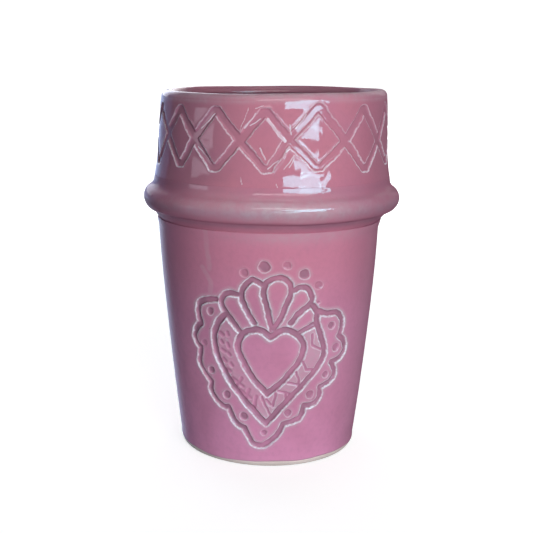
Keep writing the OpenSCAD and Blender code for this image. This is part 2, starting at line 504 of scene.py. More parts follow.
def heart_carving() -> Carving:
    """The old votive heart: a heart in a heart, flames over it, a zigzag between, scallops and dots round it.

    Returns:
        Its cuts, in millimetres across and up the body.
    """
    notch, tip, low_tip = (0.8, 45.1), (-0.2, 26.0), (-0.3, 15.5)
    heart = [
        (notch, (3.2, 46.8), (5.9, 47.4), (9.2, 45.8), (11.3, 42.5), (10.9, 38.0), (7.1, 32.6), (3.1, 28.5),
         tip),
        (notch, (-1.6, 46.9), (-3.9, 47.5), (-7.4, 46.2), (-9.3, 43.3), (-9.2, 39.8), (-7.2, 35.1),
         (-3.6, 29.7), tip),
    ]
    frame_lines = [
        ((-13.5, 51.5), (-16.2, 48.2), (-17.5, 44.0), (-17.0, 38.5), (-14.0, 31.7), (-9.0, 24.6),
         (-4.4, 19.6), low_tip),
        ((13.9, 55.0), (15.5, 52.6), (15.6, 49.2), (17.5, 44.4), (18.9, 40.0), (17.9, 35.7), (13.2, 30.0),
         (7.7, 24.5), (3.2, 19.5), low_tip),
    ]
    flames = [
        ((-8.9, 46.8), (-13.5, 53.0), (-14.4, 55.5), (-13.5, 57.6), (-11.6, 58.9), (-9.3, 58.7)),
        ((-4.2, 49.6), (-6.2, 53.4), (-7.9, 57.2), (-7.6, 60.0), (-5.2, 63.3), (-3.2, 63.1), (-1.8, 62.2)),
        ((1.3, 47.6), (-0.6, 56.0), (-1.3, 60.0), (-0.6, 62.7), (2.3, 64.3), (5.3, 63.8), (7.0, 61.0),
         (6.0, 57.0), (3.8, 51.3), (1.7, 47.6)),
        ((7.6, 60.2), (9.8, 61.2), (12.3, 60.4), (13.6, 57.4), (12.5, 55.5), (8.8, 52.0), (7.0, 49.6)),
        ((10.3, 46.7), (14.4, 48.7)),
    ]
    scallops = [
        ((-16.3, 56.2), (-19.2, 55.8), (-22.0, 54.4), (-23.3, 51.6), (-22.9, 49.0), (-22.4, 47.4)),
        ((-22.4, 47.4), (-24.6, 45.4), (-25.7, 42.5), (-24.7, 40.3), (-23.2, 39.0)),
        ((-23.2, 39.0), (-24.0, 36.2), (-24.2, 33.4), (-22.5, 30.8), (-19.9, 28.1)),
        ((-19.9, 28.1), (-20.1, 25.0), (-18.5, 22.3), (-15.6, 20.3), (-13.6, 20.1)),
        ((-13.6, 20.1), (-12.6, 17.4), (-10.8, 14.9), (-8.0, 13.4)),
        ((-8.0, 13.4), (-6.7, 11.0), (-5.0, 8.4), (-2.1, 7.5), (0.6, 8.8), (4.2, 12.3), (5.7, 15.4)),
        ((5.7, 15.4), (9.1, 16.1), (11.9, 17.6), (12.6, 21.1)),
        ((12.6, 21.1), (16.2, 21.6), (18.3, 23.5), (18.4, 27.1)),
        ((18.4, 27.1), (22.3, 28.4), (24.2, 31.2), (22.7, 34.8)),
        ((22.3, 35.2), (25.4, 35.7), (28.0, 38.5), (26.8, 41.8), (24.4, 43.8)),
        ((24.6, 43.9), (25.6, 46.5), (25.1, 49.6), (22.7, 51.7), (19.0, 52.1), (16.2, 52.9)),
    ]
    right_hatch = [
        ((14.3, 45.5), (14.4, 42.0), (17.5, 40.2)), ((11.6, 36.4), (12.7, 33.9), (16.5, 33.2)),
        ((9.5, 33.1), (10.4, 30.6), (10.4, 27.9)), ((6.7, 29.6), (10.0, 29.0)), ((3.8, 26.8), (8.5, 25.5)),
        ((6.1, 25.7), (6.2, 23.7)), ((2.7, 26.1), (2.0, 21.6)), ((-1.8, 24.7), (1.2, 18.1)),
        ((-0.2, 23.9), (1.2, 22.3)),
    ]
    left_hatch = [
        ((-15.3, 45.6), (-14.3, 44.9)), ((-12.9, 45.9), (-12.7, 44.9)), ((-15.0, 42.9), (-14.5, 42.1)),
        ((-12.9, 42.1), (-12.5, 41.0)), ((-15.1, 39.9), (-14.0, 39.2)), ((-12.9, 38.7), (-12.3, 38.2)),
        ((-14.5, 36.7), (-13.7, 35.9)), ((-12.0, 35.6), (-11.5, 34.9)), ((-13.4, 33.3), (-12.3, 32.9)),
        ((-11.7, 30.6), (-8.2, 28.0)), ((-8.6, 30.8), (-10.7, 27.2)), ((-9.0, 26.6), (-5.6, 24.4)),
        ((-6.1, 27.2), (-7.5, 23.0)), ((-3.6, 24.8), (-4.6, 20.6)),
    ]
    dots = [
        (-18.4, 52.1, 2.6), (-19.4, 32.2, 2.6), (-14.1, 24.5, 2.9), (-8.1, 17.7, 3.0), (-1.2, 12.2, 2.2),
        (7.2, 19.2, 2.7), (14.7, 25.0, 2.8), (20.1, 31.3, 2.5), (23.7, 40.0, 3.0), (21.1, 47.6, 2.7),
        (-1.1, 67.9, 3.6), (10.8, 65.4, 3.4),
    ]
    faint_dots = [
        (-21.6, 40.9, 2.4), (-6.9, 65.8, 2.8), (5.6, 68.3, 2.6), (15.4, 61.7, 2.8), (15.7, 56.0, 1.2),
    ]
    # Paths, then the tool's width, its depth, whether it runs straight, and its pale line
    strokes = (
        (heart, 2.25, 0.9, False, 1.0),
        (frame_lines, 2.2, 0.9, False, 1.0),
        (flames, 2.0, 0.8, False, 1.0),
        (scallops, 2.1, 0.85, False, 1.0),
        (right_hatch, 1.1, 0.32, True, 0.42),
        (left_hatch, 1.4, 0.22, True, 0.16),
    )
    cuts = [Cut(points, *tool) for paths, *tool in strokes for points in paths]
    for spots, depth, line in ((dots, 0.5, 0.5), (faint_dots, 0.28, 0.2)):
        cuts += [Cut(((x, z),), width, depth, line=line) for x, z, width in spots]
    right_band = ((14.9, 46.0), (15.2, 40.0), (13.0, 34.2), (8.0, 28.2), (3.0, 23.2), (0.0, 19.6))
    left_band = ((-13.4, 46.0), (-13.7, 40.0), (-11.4, 33.4), (-7.4, 27.6), (-3.4, 22.8), (0.0, 19.6))
    # A pale streak down the left of the body, with a hooked end
    pale_streak = ((-18.8, 78.0), (-18.4, 71.0), (-17.9, 66.0))
    pale_streak_end = ((-20.3, 66.0), (-19.0, 63.8), (-17.8, 61.6), (-17.9, 58.0))
    # A small painted glint beside a dot
    painted_glint = ((5.2, 67.9), (5.7, 67.7), (6.0, 67.9))
    dabs = [
        (-15.4, 43.8), (-13.2, 43.6), (-12.3, 38.6), (-12.5, 34.6), (-11.3, 30.8), (-8.7, 27.6), (-6.4, 23.7),
        (-3.2, 21.9), (-0.8, 22.0),
    ]
    # Points, width and strength of each pale stretch: thin glaze, a pale streak, and one painted glint
    stretches = (
        (right_band, 5.6, 0.42), (left_band, 5.6, 0.26), (pale_streak, 2.0, 0.2), (pale_streak_end, 1.9, 0.26),
        (painted_glint, 0.9, 0.9),
    )
    washes = [Cut(points, width, 0.0, line=line) for points, width, line in stretches]
    washes += [Cut(((x, z), (x + 0.7, z - 0.9)), 0.9, 0.0, True, 0.8) for x, z in dabs]
    return Carving(tuple(cuts), washes=tuple(washes))


@dataclass
class DiamondBand:
    """Diamonds cut side by side round the collar, each from an upper and a lower chevron.

    Places are in millimetres round the collar from the front, and up.
    """

    radius: float
    hidden: int = 10
    peak_z: float = 114.8
    trough_z: float = 97.9
    middle_z: float = 106.3
    stray: float = 0.4
    depth: float = 0.5
    widths: Pair = (2.9, 2.5)
    flats: Pair = (1.0, 1.8)
    lines: Pair = (0.45, 0.65)
    crossings: list[Point] = field(default_factory=lambda: [
        (-40.0, 107.0), (-26.0, 106.4), (-10.1, 106.2), (4.6, 106.7), (23.3, 105.8), (39.8, 105.2)])
    peaks: list[Point] = field(default_factory=lambda: [
        (-33.4, 114.7), (-18.3, 114.9), (-2.6, 114.5), (13.7, 115.7), (31.4, 114.7)])
    troughs: list[Point] = field(default_factory=lambda: [
        (-31.9, 98.2), (-17.9, 97.9), (-1.8, 98.0), (14.0, 98.5), (31.9, 97.2)])

    def __post_init__(self) -> None:
        """Carries the diamonds on round the side that is not seen, evenly, up to the first one."""
        first, last = self.crossings[0], self.crossings[-1]
        pitch = (first[0] + self.turn - last[0]) / self.hidden
        for k in range(self.hidden):
            x = last[0] + (k + 0.5) * pitch
            self.peaks.append((x, self.peak_z + self.stray * math.sin(2.1 * k)))
            self.troughs.append((x, self.trough_z + self.stray * math.sin(1.7 * k + 2.0)))
            self.crossings.append((x + pitch / 2, self.middle_z + self.stray * math.sin(0.9 * k)))
        self.crossings[-1] = (first[0] + self.turn, first[1])

    @property
    def turn(self) -> float:
        """Distance once round the collar."""
        return 2.0 * math.pi * self.radius

    def diamonds(self) -> list[tuple[Point, Point, Point, Point]]:
        """Left corner, right corner, peak and trough of each diamond."""
        return list(zip(self.crossings, self.crossings[1:], self.peaks, self.troughs))

    def carving(self) -> Carving:
        """The chevrons, with one turn's overlap at the back, and the slips of the tool near the front ones.

        Returns:
            The cuts and scratches.
        """
        cuts: list[Cut] = []
        for left, right, *tips in self.diamonds():
            for (x, z), width, flat, line in zip(tips, self.widths, self.flats, self.lines):
                points = (left, (x - flat / 2.0, z), (x + flat / 2.0, z), right)
                cuts.append(Cut(points, width, self.depth, True, line))
        scratches = (
            ((-8.7, 109.8), (-5.4, 114.4), 1.0), ((-10.0, 109.2), (-7.6, 116.0), 0.5),
            ((-5.6, 115.8), (-3.1, 116.7), 0.6), ((-7.1, 110.7), (-3.9, 112.8), 0.7),
            ((-3.9, 104.1), (-1.9, 100.8), 1.0), ((-24.5, 104.0), (-19.5, 99.5), 0.7),
            ((-23.6, 109.3), (-18.7, 114.1), 0.6), ((4.9, 110.9), (5.3, 108.0), 1.0),
            ((6.7, 109.7), (9.9, 114.1), 1.0), ((6.0, 109.9), (7.9, 112.6), 0.7),
            ((3.5, 98.0), (6.4, 102.2), 0.8), ((5.0, 98.5), (6.4, 101.4), 0.8),
            ((-1.4, 97.9), (1.7, 100.4), 0.9), ((3.9, 102.8), (5.1, 103.9), 0.8),
            # The two marks on the next line are short pale specks under the diamonds
            ((-9.3, 95.2), (-8.9, 93.2), 0.7), ((1.2, 93.6), (1.6, 92.6), 0.7),
        )
        slips = [Cut((start, end), 0.1, 0.0, True, line) for start, end, line in scratches]
        slips.append(Cut(((-1.8, 112.4), (1.8, 107.9), (3.7, 106.1)), 0.7, 0.0, True, 0.8))
        again = [replace(cut, points=tuple((x - self.turn, z) for x, z in cut.points)) for cut in cuts]
        return Carving(tuple(cuts + again), tuple(slips), floor_pool=0.2, halo=0.08)

    def pillow(self, across: Array, up: Array) -> Array:
        """Swelling of the clay in each diamond, from 0 at its sides to 1 in the middle: a softened pyramid.

        Args:
            across: Distance round the collar from the front.
            up: Height on the collar.

        Returns:
            The swelling at each place.
        """
        swell = np.zeros(across.shape)
        for left, right, peak, trough in self.diamonds():
            half_w, half_h = (right[0] - left[0]) / 2.0, (peak[1] - trough[1]) / 2.0
            middle_x, middle_z = (left[0] + right[0]) / 2.0, (peak[1] + trough[1]) / 2.0
            off = np.abs((across - middle_x + self.turn / 2.0) % self.turn - self.turn / 2.0)
            swell = np.maximum(swell, ease(0.0, 1.0, 1.0 - off / half_w - np.abs(up - middle_z) / half_h))
        return swell


def closed_faces(rows: int, columns: int, looped: bool) -> list[list[int]]:
    """Faces of a turned grid whose columns close round the axis.

    Args:
        rows: Rows of the grid; without a loop the first and last rows are single points on the axis.
        columns: Columns of the grid.
        looped: Whether the section closes on itself instead of ending on the axis.

    Returns:
        Vertex numbers of each face.
    """
    j = np.arange(columns)
    k = (j + 1) % columns
    if looped:
        i = np.arange(rows)[:, None] * columns
        n = ((np.arange(rows) + 1) % rows)[:, None] * columns
        return np.stack([i + j, i + k, n + k, n + j], axis=-1).reshape(-1, 4).tolist()
    i = 1 + np.arange(rows - 3)[:, None] * columns
    n = i + columns
    quads = np.stack([i + j, i + k, n + k, n + j], axis=-1).reshape(-1, 4).tolist()
    last = 1 + (rows - 3) * columns
    first_fan = np.stack([np.zeros(columns, int), 1 + k, 1 + j], axis=-1).tolist()
    last_fan = np.stack([np.full(columns, last + columns), last + j, last + k], axis=-1).tolist()
    return quads + first_fan + last_fan


def turned_piece(name: str, points: Array, looped: bool, marks: dict[Mark, Array],
                 finish: bpy.types.Material) -> bpy.types.Object:
    """Makes a closed, dressed object from a grid of points that runs along a section and round the axis.

    Args:
        name: Name of the piece.
        points: Places in millimetres, by row along the section and column round the axis.
        looped: Whether the section closes on itself instead of ending on the axis.
        marks: Glaze marks on the same grid.
        finish: Material of the piece.

    Returns:
        The object, at the origin.
    """
    rows, columns = points.shape[:2]

    def flat(grid: Array) -> Array:
        """The grid as one list, with a single entry for each end on the axis."""
        if looped:
            return grid.reshape(rows * columns, -1)
        ends = grid[[0, -1]].reshape(2, columns, -1).mean(axis=1)
        return np.concatenate([ends[:1], grid[1:-1].reshape((rows - 2) * columns, -1), ends[1:]])

    mesh = bpy.data.meshes.new(name)
    mesh.from_pydata(flat(points) * MM, [], closed_faces(rows, columns, looped))
    for mark, grid in marks.items():
        layer = mesh.attributes.new(mark.value, "FLOAT", "POINT")
        layer.data.foreach_set("value", flat(grid[..., None]).astype(np.float32).ravel())
    mesh.shade_smooth()
    mesh.set_sharp_from_angle(angle=SHARP_TURN)
    mesh.validate()
    mesh.materials.append(finish)
    piece = bpy.data.objects.new(name, mesh)
    bpy.context.scene.collection.objects.link(piece)
    return piece


def with_back(marks: dict[Mark, Array], shape: tuple[int, int]) -> dict[Mark, Array]:
    """Marks of a wall's face carried on over its plain back: distances stay large and shares are nothing.

    Args:
        marks: Marks on the rows of the face.
        shape: Rows and columns of the back.

    Returns:
        Marks on all the rows.
    """
    back = plain_marks(shape, np.zeros(shape), np.zeros(shape))
    return {mark: np.concatenate([grid, back[mark]]) for mark, grid in marks.items()}


def plain_marks(shape: tuple[int, int], pool: Array, thin: Array) -> dict[Mark, Array]:
    """Marks of a piece without carving."""
    far, none = np.full(shape, MARK_REACH), np.zeros(shape)
    return {Mark.EDGE: far, Mark.LINE: none, Mark.SCRATCH: far, Mark.POOL_AND_SHADE: pool, Mark.THIN_AND_LIGHT: thin}


class Socket:
    """An output of a shader node, with arithmetic that adds Math nodes."""

    def __init__(self, tree: "Finish", output: bpy.types.NodeSocket) -> None:
        """Keeps the tree that the output belongs to."""
        self.tree = tree
        self.output = output

    def __add__(self, other: "Socket | float") -> "Socket":
        """Sum."""
        return self.tree.math("ADD", self, other)

    __radd__ = __add__

    def __sub__(self, other: "Socket | float") -> "Socket":
        """Difference."""
        return self.tree.math("SUBTRACT", self, other)

    def __rsub__(self, other: "Socket | float") -> "Socket":
        """Difference from a number."""
        return self.tree.math("SUBTRACT", other, self)

    def __mul__(self, other: "Socket | float") -> "Socket":
        """Product."""
        return self.tree.math("MULTIPLY", self, other)

    __rmul__ = __mul__

    def __truediv__(self, other: "Socket | float") -> "Socket":
        """Quotient."""
        return self.tree.math("DIVIDE", self, other)

    def __abs__(self) -> "Socket":
        """Size without sign."""
        return self.tree.math("ABSOLUTE", self)

    def larger(self, other: "Socket | float") -> "Socket":
        """The larger of the two."""
        return self.tree.math("MAXIMUM", self, other)


class Finish:
    """The nodes of a procedural material, or of the world, and the few calls that build them."""

    def __init__(self, owner: bpy.types.Material | bpy.types.World) -> None:
        """Starts with an empty tree."""
        self.owner = owner
        owner.use_nodes = True
        self.nodes = owner.node_tree.nodes
        self.links = owner.node_tree.links
        self.nodes.clear()

    def node(self, kind: str, settings: dict[str, object] | None = None,
             inputs: dict[str | int, object] | None = None, output: str | int = 0) -> Socket:
        """Adds one node.

        Args:
            kind: Node type.
            settings: Properties, set first.
            inputs: Values or sockets for its inputs, by name or number.
            output: Which output to hand back.

        Returns:
            The wanted output.
        """
        made = self.nodes.new(kind)
        for key, value in (settings or {}).items():
            setattr(made, key, value)
        for key, value in (inputs or {}).items():
            if isinstance(value, Socket):
                self.links.new(value.output, made.inputs[key])
            else:
                made.inputs[key].default_value = value
        return Socket(self, made.outputs[output] if made.outputs else None)

    def math(self, operation: str, *values: "Socket | float") -> Socket:
        """A Math node on one or two values."""
        return self.node("ShaderNodeMath", {"operation": operation}, dict(enumerate(values)))

    def mark(self, mark: Mark) -> Socket:
        """A glaze mark kept on the mesh."""
        return self.node("ShaderNodeAttribute", {"attribute_name": mark.value}, output="Fac")

    def place(self) -> Socket:
        """Object coordinates, in metres."""
        return self.node("ShaderNodeTexCoord", output="Object")

    def axes(self, place: Socket) -> list[Socket]:
        """The x, y and z of a place."""
        return [self.node("ShaderNodeSeparateXYZ", None, {"Vector": place}, axis) for axis in "XYZ"]

    def noise(self, scale: float, detail: float, place: Socket, roughness: float = 0.5) -> Socket:
        """Noise from about 0 to 1, with a number of cells in a metre."""
        return self.node("ShaderNodeTexNoise", {"noise_dimensions": "3D"},
                         {"Vector": place, "Scale": scale, "Detail": detail, "Roughness": roughness}, "Fac")

    def span(self, value: Socket, low: float, high: float, start: float = 0.0, end: float = 1.0) -> Socket:
        """Smooth step of a value: start at low, end at high."""
        return self.node("ShaderNodeMapRange", {"interpolation_type": "SMOOTHSTEP"},
                         {"Value": value, "From Min": low, "From Max": high, "To Min": start, "To Max": end})

    def blend(self, share: Socket, first: "Socket | Colour", second: "Socket | Colour") -> Socket:
        """Colour between two, by a share.

        Args:
            share: 0 for the first colour and 1 for the second.
            first: A colour, or a socket that gives one.
            second: The other one.

        Returns:
            The mixed colour.
        """
        def filled(colour: "Socket | Colour") -> "Socket | tuple[float, ...]":
            """A colour with its alpha, or a socket as it is."""
            return colour if isinstance(colour, Socket) else (*colour, 1.0)

        return self.node("ShaderNodeMix", {"data_type": "RGBA", "clamp_factor": True},
                         {0: share, 6: filled(first), 7: filled(second)}, 2)

    def bump(self, height: Socket, strength: float, distance: float) -> Socket:
        """Normal of a surface that rises and falls with a value, by a distance in metres."""
        return self.node("ShaderNodeBump", None,
                         {"Strength": strength, "Distance": distance, "Height": height}, "Normal")

    def seen(self) -> Socket:
        """1 where the camera, a reflection or clear glass looks straight at this, 0 where it only lights."""
        camera, mirror, glass = (self.node("ShaderNodeLightPath", output=f"Is {ray} Ray")
                                 for ray in ("Camera", "Glossy", "Transmission"))
        return camera.larger(mirror).larger(glass)

    def shade(self, settings: dict[str, object]) -> bpy.types.Material:
        """Closes the material with one surface shader.

        Args:
            settings: Values or sockets for the shader's inputs.

        Returns:
            The finished material.
        """
        surface = self.node("ShaderNodeBsdfPrincipled", None, settings, "BSDF")
        self.node("ShaderNodeOutputMaterial", {"target": "ALL"}, {"Surface": surface})
        return self.owner


@dataclass(frozen=True)
class GlazeFinish:
    """Glossy glaze, dark where it collects in the cuts and pale where it breaks over their edges, with
    painted shade on both sides and painted light at the foot.

    Places are in metres, as object coordinates are, and a scale is a number of cells in a metre. The line
    along an edge is in millimetres, as the marks are.
    """

    name: str
    # foot is painted light at the bottom, standing in for light bounced off the floor; from low to high the
    # glaze darkens up the wall, partly painted shade
    foot: Colour = (0.715, 0.295, 0.498)
    low: Colour = (0.63, 0.254, 0.412)
    high: Colour = (0.57, 0.206, 0.307)
    blush: Colour = (0.45, 0.168, 0.277)
    blush_share: float = 0.5
    # Colour of the painted shade on both sides of the cup
    side_shade: Colour = (0.25, 0.095, 0.165)
    # Colour of glaze pooled in the cuts, and of painted shade
    pool_and_shade: Colour = (0.27, 0.138, 0.203)
    # Colour of thin glaze, and of painted light and sheen
    thin: Colour = (0.53, 0.468, 0.517)
    broken_and_highlight: Colour = (0.84, 0.852, 0.947)
    speck: Colour = (0.16, 0.084, 0.111)
    speck_share: float = 0.8
    gloss: float = 0.05
    coat_ior: float = 1.7
    face_coat: float = 0.36
    side_coat: float = 0.14
    rim_coat: float = 0.16
    rim_x: Pair = (0.012, -0.012)
    line_half: float = 0.36
    line_at: float = 0.08
    line_stray: float = 0.7
    line_least: float = 0.45
    slip_reach: Pair = (0.24, 0.04)
    slip_share: float = 0.7
    cloud_scale: float = 38.0
    patch_scale: float = 170.0
    pit_scale: float = 260.0
    pit_reach: Pair = (0.055, 0.025)
    grain_scale: float = 620.0
    grain_share: float = 0.14
    crumb_scale: float = 1500.0
    grain_h: float = 0.0002
    # Heights of the darkening up the wall, partly painted shade, and of the painted floor light at the foot
    high_z: Pair = (0.042, 0.072)
    foot_z: Pair = (0.034, 0.0)
    # Where the painted side shade lies and how strong it is: a quarter as strong at the back, on the left
    # growing with height and stronger on the collar
    front_y: Pair = (0.026, 0.008)
    left_x: Pair = (-0.013, -0.033)
    left_z: Pair = (0.02, 0.06)
    left_shade_share: float = 0.34
    collar_z: Pair = (0.076, 0.094)
    collar_shade_gain: float = 1.8
    collar_shift_z: Pair = (0.088, 0.096)
    collar_shift: float = 0.009
    right_x: Pair = (0.018, 0.036)
    right_shade_share: float = 0.5
    # Painted shade round the sides and back
    round_y: Pair = (-0.033, 0.004)
    round_shade_share: float = 0.12

    def build(self) -> bpy.types.Material:
        """Builds the material.

        Returns:
            A glaze that reads the marks on its piece.
        """
        f = Finish(bpy.data.materials.new(self.name))
        place = f.place()
        side, depth, height = f.axes(place)
        clouds = f.noise(self.cloud_scale, 2.0, place)
        patches = f.noise(self.patch_scale, 2.0, place)
        grain = f.noise(self.grain_scale, 3.0, place)
        crumbs = f.noise(self.crumb_scale, 2.0, place)
        worn = f.span(patches, 0.25, 0.6, 0.6, 1.0)
        strength = f.mark(Mark.LINE)
        rough_edge = f.mark(Mark.EDGE) + (grain - 0.5) * self.line_stray
        half = self.line_half * (self.line_least + (1.0 - self.line_least) * strength)
        inset = 1.0 - abs(rough_edge - self.line_at) / half
        line = f.span(inset, 0.0, 0.8) * strength * worn * f.span(crumbs, 0.32, 0.58, 0.5, 1.0)
        slip = f.span(f.mark(Mark.SCRATCH), *self.slip_reach) * worn
        line = line.larger(slip * self.slip_share)
        # Darker up the wall, partly painted shade, and paler at the foot: painted light bounced off the floor
        colour = f.blend(f.span(height, *self.high_z), self.low, self.high)
        colour = f.blend(f.span(height, *self.foot_z), colour, self.foot)
        colour = f.blend(f.span(clouds, 0.45, 0.75, 0.0, self.blush_share), colour, self.blush)
        # Painted shade: darker towards both sides, a quarter as strong at the back; on the left it grows with
        # height and is strongest on the collar
        front = f.span(depth, *self.front_y, 0.25, 1.0)
        left = f.span(side - f.span(height, *self.collar_shift_z, 0.0, self.collar_shift), *self.left_x)
        left = left * f.span(height, *self.left_z, 0.0, self.left_shade_share)
        left = left * f.span(height, *self.collar_z, 1.0, self.collar_shade_gain)
        right = f.span(side, *self.right_x, 0.0, self.right_shade_share)
        colour = f.blend((left + right) * front, colour, self.side_shade)
        # Painted shade: darker round the sides and back
        colour = f.blend(f.span(depth, *self.round_y, 0.0, self.round_shade_share) * front, colour, self.pool_and_shade)
        colour = f.blend(f.span(grain, 0.35, 0.85, 0.0, self.grain_share), colour, self.pool_and_shade)
        # Dark where glaze pools in the cuts, and painted shade where the mark carries it on the roll and
        # inside the lip
        colour = f.blend(f.mark(Mark.POOL_AND_SHADE) * f.span(patches, 0.3, 0.65, 0.6, 1.1), colour, self.pool_and_shade)
        # Pale where the glaze runs thin, and painted light and sheen where the mark carries it: the roll's
        # crest, under the roll, the front of the lip and one glint
        mottle = f.span(patches, 0.2, 0.7, 0.6, 1.0) * f.span(grain, 0.38, 0.62, 0.8, 1.1)
        colour = f.blend(f.mark(Mark.THIN_AND_LIGHT) * mottle, colour, self.thin)
        # Pale where the glaze breaks over cut edges, with painted highlight along their lower edges
        colour = f.blend(line, colour, self.broken_and_highlight)
        pits = f.node("ShaderNodeTexVoronoi", {"feature": "F1"},
                      {"Vector": place, "Scale": self.pit_scale}, "Distance")
        pit = f.span(pits, *self.pit_reach) * f.span(clouds, 0.5, 0.62)
        colour = f.blend(pit * self.speck_share, colour, self.speck)
        facing = f.node("ShaderNodeLayerWeight", None, {"Blend": 0.5}, "Facing")
        rim = f.span(side, *self.rim_x, -0.7 * self.side_coat, self.rim_coat - self.side_coat)
        coat = f.span(facing, 0.15, 0.45, self.face_coat, self.side_coat) + rim * f.span(facing, 0.62, 0.86)
        coat = coat * (1.0 - 0.7 * line) * (1.0 - 0.6 * pit)
        return f.shade({
            "Base Color": colour,
            "Roughness": 0.3 + 0.2 * grain,
            "Normal": f.bump(grain - pit, 0.5, self.grain_h),
            "Specular IOR Level": 0.0,
            "Coat Weight": coat,
            "Coat Roughness": self.gloss,
            "Coat IOR": self.coat_ior,
        })


@dataclass(frozen=True)
class ClayFinish:
    """Bare fired clay, pale and dry, with fine grit."""

    name: str
    body: Colour = (0.72, 0.63, 0.60)
    dark: Colour = (0.55, 0.46, 0.43)
    grit_scale: float = 900.0
    wash_scale: float = 60.0
    grit_h: float = 0.0002

    def build(self) -> bpy.types.Material:
        """Builds the material.

        Returns:
            A matt clay with grit in its colour and its surface.
        """
        f = Finish(bpy.data.materials.new(self.name))
        place = f.place()
        grit = f.noise(self.grit_scale, 4.0, place, 0.6)
        wash = f.noise(self.wash_scale, 3.0, place)
        colour = f.blend(f.span(wash, 0.3, 0.75, 0.0, 0.55), self.body, self.dark)
        colour = f.blend(f.span(grit, 0.58, 0.75, 0.0, 0.5), colour, self.dark)
        return f.shade({
            "Base Color": colour,
            "Roughness": 0.78 + 0.12 * wash,
            "Normal": f.bump(grit, 0.6, self.grit_h),
        })


@dataclass
class FootSlab:
    """Floor of the cup: a round slab on its foot ring, bare underneath, with turning rings in its hollow."""

    form: CupForm
    columns: int = 192
    spigot_r: float = 25.85
    ring_pitch: float = 2.4
    ring_depth: float = 0.07
    ring_start: Pair = (0.0, 1.5)
    hollow_steps: int = 97
    side_steps: int = 12
    steps: int = 9

    def section(self) -> Array:
        """Section from the axis under the slab, out round the foot and back over the top to the axis.

        Returns:
            Points [r, z].
        """
        f = self.form
        turns = np.linspace(0.0, 1.0, self.steps)
        ring_in, ring_out = f.foot_r - f.foot_ring_w, f.foot_r - f.foot_round
        hollow_r = np.linspace(0.0, ring_in - f.foot_hollow, self.hollow_steps)
        rings = self.ring_depth * (np.cos(2.0 * math.pi * hollow_r / self.ring_pitch) - 1.0)
        hollow = np.stack([hollow_r, f.foot_hollow + rings * ease(*self.ring_start, hollow_r)], axis=-1)
        slope_r = np.linspace(hollow[-1, 0], ring_in, self.steps)
        slope = np.stack([slope_r, f.foot_hollow * (1.0 - ease(0.0, 1.0, turns))], axis=-1)
        slope[0] = hollow[-1]
        ring = np.stack([np.linspace(ring_in, ring_out, self.steps), np.zeros(self.steps)], axis=-1)
        corner = arc(np.array([ring_out, f.foot_round]), f.foot_round, -math.pi / 2, 0.0, turns)
        side_z = np.linspace(f.foot_round, f.ledge_h, self.side_steps)
        tuck = f.glaze_t * ease(f.bare_h - 0.1, f.bare_h + 0.5, side_z)
        side = np.stack([f.body_r(side_z) - tuck, side_z], axis=-1)
        side[0] = corner[-1]
        top_z = f.floor_t - f.glaze_t
        ledge = np.array([side[-1], [self.spigot_r, f.ledge_h], [self.spigot_r, top_z], [0.0, top_z]])
        return joined(hollow, slope, ring, corner, side, ledge)

    def build(self, clay: bpy.types.Material) -> bpy.types.Object:
        """Turns the section and dresses it in bare clay.

        Args:
            clay: Finish of the slab.

        Returns:
            The piece.
        """
        section = self.section()
        points = self.form.settled(section[:, :1], round_angles(self.columns)[None], section[:, 1:])
        piece = turned_piece("foot_slab", points, False, {}, clay)
        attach(piece, CUP_BODY)
        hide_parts("floor_disc")
        return piece


